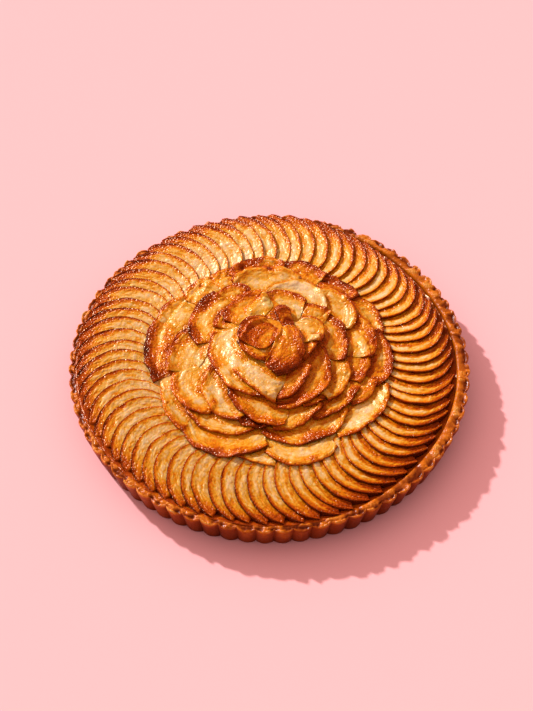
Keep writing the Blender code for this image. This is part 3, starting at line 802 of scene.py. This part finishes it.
# Rests a petal on the map: a coarse sheet takes the mean height under it, spread over the stiffness of a
# slice, and is raised in rounds wherever the fine sheet read from it would cut into the pile.
def layPetal(shape, numbers, height):
    coarseAlong = np.linspace(-1, 1, shape["coarseColumns"])[None, :]
    coarseShare = np.linspace(0, 1, shape["coarseRows"])[:, None]
    nodeX, nodeY, _ = petalPlan(shape, numbers, coarseAlong, coarseShare, 0)
    along = np.linspace(-shape["ends"], shape["ends"], shape["columns"])
    share = np.linspace(0, 1, shape["rows"])
    x, y, _ = petalPlan(shape, numbers, along[None, :], share[:, None], 0)
    need = height[mapCells(shape, x, y)] + shape["gap"]
    apart = np.hypot(nodeX.ravel()[:, None] - x.ravel(), nodeY.ravel()[:, None] - y.ravel())
    near = bell(apart, shape["stiffness"])
    level = near @ need.ravel() / near.sum(1)
    down = cubicWeights(shape["coarseRows"], share)
    over = cubicWeights(shape["coarseColumns"], (along + 1) / 2)
    for _ in range(shape["raises"]):
        sheet = down @ level.reshape(shape["coarseRows"], -1) @ over.T
        short = np.maximum(0, need - sheet).ravel()
        level = level + shape["raiseShare"] * (near * short).max(1)
    sheet = down @ level.reshape(shape["coarseRows"], -1) @ over.T
    return np.maximum(sheet, need - shape["gap"])


# a sheet after so many rounds in which each number becomes the mean of itself and four neighbours in its row
def softened(sheet, rounds):
    for _ in range(rounds):
        wide = np.pad(sheet, ((0, 0), (2, 2)), mode="edge")
        sheet = sum(wide[:, step:step + sheet.shape[1]] for step in range(5)) / 5
    return sheet


# reads rows of a sheet at other shares of the way to the skin edge
def atShares(sheet, share):
    rows = sheet.shape[0]
    at = np.clip(share * (rows - 1), 0, rows - 1 - 1e-9)
    cell = np.floor(at).astype(int)
    part = at - cell
    column = np.arange(sheet.shape[1])[None, :] + 0 * cell
    return sheet[cell, column] * (1 - part) + sheet[cell + 1, column] * part


# One petal as loops round its section: along the top from the hidden inner edge to the skin edge, round the
# skin edge through half an ellipse, and back underneath.
def petalLoops(shape, ringName, number, seed, numbers, height):
    along = np.linspace(-shape["ends"], shape["ends"], shape["columns"])[None, :]
    run = along * numbers[3] * mm / 2
    edgeLine = pointsOf(run)
    scallop = shape["scallop"] * layeredNoise(edgeLine, shape["scallopCell"], seed, 3) * (1 - along ** 6)
    body = petalPlan(shape, numbers, along, 0, 0)[2]
    rounded = np.minimum(shape["edgeRound"], shape["edgeShare"] * body) / body  # share that the edge turns in

    inward = np.linspace(1, 0, shape["topRows"])[:, None]
    tuck = shape["bareTuck"].get((ringName, number), shape["tuck"])
    topShare = 1 - rounded - (1 + tuck - rounded) * inward ** shape["topCrowding"]
    bend = np.radians(np.linspace(shape["edgeBend"], -shape["edgeBend"], shape["edgeRows"]))[:, None]
    underward = np.linspace(0, 1, shape["underRows"])[:, None]
    underShare = 1 - rounded - (1 + tuck - rounded) * underward
    share = np.concatenate([topShare, 1 - rounded * (1 - np.cos(bend)), underShare])
    visible = np.clip(share, 0, 1)
    tucked = smoothStep(0, shape["tuckOver"], -share)
    x, y, _ = petalPlan(shape, numbers, along, share, scallop)
    here = height[mapCells(shape, x, y)]

    wave = shape["waveMean"] + shape["waveShare"] * layeredNoise(edgeLine, shape["waveCell"], seed + 5)
    wave = shape["wave"][ringName] * wave * visible ** 2
    lift = shape["curl"][ringName] * visible ** 2
    if ringName == "heart":
        lift = np.interp(visible, heartShares, heartLift[number]) * mm * np.sqrt(1 - along ** 4)
        place, width, rise = shape["fold"].get(number, (0, 1, 0))
        lift = lift + rise * mm * bell(share - place, width) * (1 - along ** 2)
    low = atShares(layPetal(shape, numbers, height), visible)
    settle = np.maximum(tucked, shape["settle"][ringName])
    settle = np.maximum(settle, shape["tipSettle"] * smoothStep(shape["tipFrom"], 1, np.abs(along)))
    low = low + (softened(here, shape["smoothing"]) - low) * settle + lift + wave
    low = np.maximum(low, here - shape["sink"])

    thick = shape["core"] + (shape["skin"] - shape["core"]) * np.clip(share / shape["full"], 0, 1)
    thick = thick + (shape["tuckThickness"] - thick) * tucked
    thick = thick * np.maximum(np.sqrt(1 - along ** 12), shape["tipThickness"])
    fromEdge = (1 - share) * body
    spot = pointsOf(run, fromEdge)
    relief = shape["wrinkle"] * layeredNoise(spot, shape["wrinkleCells"], seed + 9, 3)
    relief = relief + shape["swell"] * noise(spot, shape["swellCells"], seed + 12)
    shrivel = layeredNoise(spot, shape["shrivelCells"], seed + 15, fold=True) - shape["shrivelLevel"]
    shrivel = shrivel * (1 + np.exp(-fromEdge / shape["shrivelRun"])) / 2
    puff = 1 + shape["puff"] * noise(edgeLine, shape["puffCell"], seed + 18)
    lip = puff * bell(fromEdge - shape["lipAt"], shape["lipWidth"])
    lip = lip - shape["groove"] * bell(fromEdge - shape["grooveAt"], shape["grooveWidth"])
    face = 0.5 + shape["faceShare"] * np.sin(bend) / math.sin(math.radians(shape["edgeBend"]))
    rise = np.concatenate([np.ones((shape["topRows"], 1)), face, np.zeros((shape["underRows"], 1))])
    shown = smoothStep(shape["reliefFrom"], 1, rise) * np.clip(thick / shape["core"], 0, 1)
    z = low + rise * thick + shown * (relief + shape["shrivel"] * shrivel + shape["lip"] * lip)
    z = np.maximum(z, low + shape["thinnest"] * rise)
    return pointsOf(x, y, z), fromEdge, run + 0 * fromEdge, rise + 0 * fromEdge, shown * shrivel


# browning of a petal: flesh mottled by noise and paler on its lumps (juice in the hollows and painted shade),
# a band along the skin edge whose width and depth vary, a thin dark line at the edge itself, a blotch where
# one is listed, and the side and underside browner: the skin's own brown and painted shade
def petalBakeAndShade(shape, ringName, number, seed, fromEdge, run, rise, shrivel):
    flesh, edge, band = browning[ringName][number - 1]
    mottle = layeredNoise(pointsOf(run, fromEdge), shape["mottleCells"], seed + 31, 3)
    edgeMottle = layeredNoise(pointsOf(run), shape["edgeCell"], seed + 37)
    reach = band * mm * (shape["bandMean"] + shape["bandVaries"] * edgeMottle)
    inBand = np.exp(-((np.maximum(fromEdge, 0) / reach) ** shape["bandPower"]))
    varied = shape["edgeMean"] + shape["edgeVaries"] * edgeMottle + shape["edgeMottle"] * mottle
    bake = flesh + (shape["mottle"] + shape["mottleBrown"] * flesh) * mottle - shape["lumpsPaler"] * shrivel
    bake = bake + inBand * (edge - flesh) * varied + shape["line"] * bell(fromEdge, shape["lineWidth"])
    width = rose[ringName][number - 1][3] * mm
    for blotchRing, blotchNumber, place, depth, size, more in blotches:
        if (blotchRing, blotchNumber) == (ringName, number):
            away = np.hypot(run - place * width / 2, fromEdge - depth * mm)
            bake = bake + more * bell(away, size * mm / 2) * (1 + shape["blotchMottle"] * mottle)
    # the side face and underside browner: the skin's own brown and painted shade
    return bake + (1 - rise) * shape["side"]


# works out a petal's points and its browning with painted shade, and raises the map to its top
def shapePetal(shape, ringName, number, numbers, height):
    seed = number * 7 + 1000 * (list(rose).index(ringName) + 1)
    points, *places = petalLoops(shape, ringName, number, seed, numbers, height)
    bake = petalBakeAndShade(petalBrowningAndShade, ringName, number, seed, *places)
    outer = points[:shape["topRows"] + shape["edgeRows"]]
    column, row = mapCells(shape, outer[..., 0], outer[..., 1])
    for stepX in (-1, 0, 1):
        for stepY in (-1, 0, 1):
            np.maximum.at(height, (column + stepX, row + stepY), outer[..., 2])
    return ringName, number, points, bake


# the map with each place raised to the highest place within so many steps of it
def nearbyTop(height, steps):
    for _ in range(steps):
        wide = np.pad(height, 1, mode="edge")
        height = np.maximum.reduce([wide[1:-1, 1:-1], wide[:-2, 1:-1], wide[2:, 1:-1], wide[1:-1, :-2],
                                    wide[1:-1, 2:]])
    return height


# the mesh of a petal, browner in the hollows in front of higher petals: juice run in there, and painted shade
def makePetal(shape, ringName, number, points, bake, nearby):
    under = nearby[mapCells(shape, points[..., 0], points[..., 1])] - points[..., 2]
    bake = bake + petalBrowningAndShade["hollowJuiceAndShade"] * smoothStep(*petalBrowningAndShade["hollowJuiceAndShadeRange"], under)
    closed, quads, triangles = closedLoops(points)
    obj = addMesh(f"glazed_petal_{ringName}_{number:02d}", closed, quads, triangles, petalFinish,
                  {"bake": loopValues(bake)})
    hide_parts(f"petal_{ringName}_{number:02d}")
    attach(obj, "root")
    return obj


# lays the petals on the map one by one, and makes their meshes when the whole pile is known
def makeRose(shape):
    height = startMap(shape)
    shaped = [shapePetal(shape, ringName, number, petals[number - 1], height)
              for ringName, petals in rose.items()
              for number in shape["layOrder"].get(ringName, range(1, len(petals) + 1))]
    nearby = nearbyTop(height, petalBrowningAndShade["hollowJuiceAndShadeReach"])
    return [makePetal(shape, *one, nearby) for one in shaped]


petals = makeRose(petal)
print("rose:", len(petals), "petals", sum(len(piece.data.polygons) for piece in petals), "faces")


# floor, light and camera
studio = {
    "floorColour": (0.85, 0.44, 0.45), "floorSize": 6.0, "floorRoughness": 0.85, "floorShine": 0.2,
    "floorSunk": 0.05 * mm,
    "keyFrom": (-27, 25.5, 24), "keyStrength": 4.1, "keyAngle": math.radians(2.5),
    "keyColour": (1.0, 0.97, 0.97), "fillStrength": 0.93, "fillColour": (1.0, 0.687, 0.643),
    "fillSlant": 0.5,  # the room is brighter on the lamp's side by this share, and darker on the other
    "glossColour": (0.12, 0.06, 0.03),  # what the glaze mirrors of the room, so that it mirrors the lamp more
}


# a square floor just under the tart, a sun, and a room with 1 + slant * cosine of light towards the lamp
def makeStudio(setup):
    half = setup["floorSize"] / 2
    corners = np.array([(-half, -half, 0), (half, -half, 0), (half, half, 0), (-half, half, 0)], float)
    corners[:, 2] = -setup["floorSunk"]
    material = bpy.data.materials.new("plain floor")
    material.use_nodes = True
    shader = material.node_tree.nodes["Principled BSDF"]
    shader.inputs["Base Color"].default_value = (*setup["floorColour"], 1)
    shader.inputs["Roughness"].default_value = setup["floorRoughness"]
    shader.inputs["Specular IOR Level"].default_value = setup["floorShine"]
    floor = addMesh("floor", corners, np.array([[0, 1, 2, 3]]), np.zeros((0, 3), int), material, {})

    sun = bpy.data.lights.new("key", "SUN")
    sun.energy, sun.angle, sun.color = setup["keyStrength"], setup["keyAngle"], setup["keyColour"]
    key = bpy.data.objects.new("key", sun)
    key.rotation_mode = "QUATERNION"
    key.rotation_quaternion = Vector(setup["keyFrom"]).to_track_quat("Z", "Y")
    bpy.context.scene.collection.objects.link(key)

    world = bpy.data.worlds.new("studio")
    world.use_nodes = True
    tree = world.node_tree
    back = tree.nodes["Background"]
    towards = tree.nodes.new("ShaderNodeTexCoord")
    lampSide = tree.nodes.new("ShaderNodeVectorMath")
    lampSide.operation = "DOT_PRODUCT"
    lampSide.inputs[1].default_value = Vector((*setup["keyFrom"][:2], 0)).normalized()
    tree.links.new(towards.outputs["Generated"], lampSide.inputs[0])
    fill = setup["fillStrength"]
    strength = mathNode(tree, "MULTIPLY_ADD", lampSide.outputs["Value"], fill * setup["fillSlant"], fill)
    tree.links.new(strength, back.inputs["Strength"])
    path = tree.nodes.new("ShaderNodeLightPath")
    colour = tree.nodes.new("ShaderNodeMix")
    colour.data_type = "RGBA"
    colour.inputs["A"].default_value = (*setup["fillColour"], 1)
    colour.inputs["B"].default_value = (*setup["glossColour"], 1)
    tree.links.new(path.outputs["Is Glossy Ray"], colour.inputs["Factor"])
    tree.links.new(colour.outputs["Result"], back.inputs["Color"])
    bpy.context.scene.world = world


# aimed at the middle of the case's bottom; the distance is in metres, lens and sensor are in mm
view = {
    "elevation": math.radians(52.73), "roll": math.radians(0.66), "distance": 1.7043, "lens": 122.1,
    "sensor": 36, "shiftX": -0.0039, "shiftY": 0.0426, "nearest": 0.05, "farthest": 20,
}


# a camera in front, back along a line that rises by the elevation, and turned about that line by the roll
def makeCamera(setup):
    rise = setup["elevation"]
    back = Vector((0, -math.cos(rise), math.sin(rise)))
    data = bpy.data.cameras.new("camera")
    data.lens, data.sensor_width = setup["lens"], setup["sensor"]
    data.shift_x, data.shift_y = setup["shiftX"], setup["shiftY"]
    data.clip_start, data.clip_end = setup["nearest"], setup["farthest"]
    camera = bpy.data.objects.new("camera", data)
    camera.rotation_mode = "QUATERNION"
    camera.location = back * setup["distance"]
    turn = Quaternion((0, 0, 1), setup["roll"])
    camera.rotation_quaternion = (-back).to_track_quat("-Z", "Y") @ turn
    bpy.context.scene.collection.objects.link(camera)
    bpy.context.scene.camera = camera


makeStudio(studio)
makeCamera(view)
bpy.context.scene.view_settings.view_transform = "Standard"
print("studio ready")
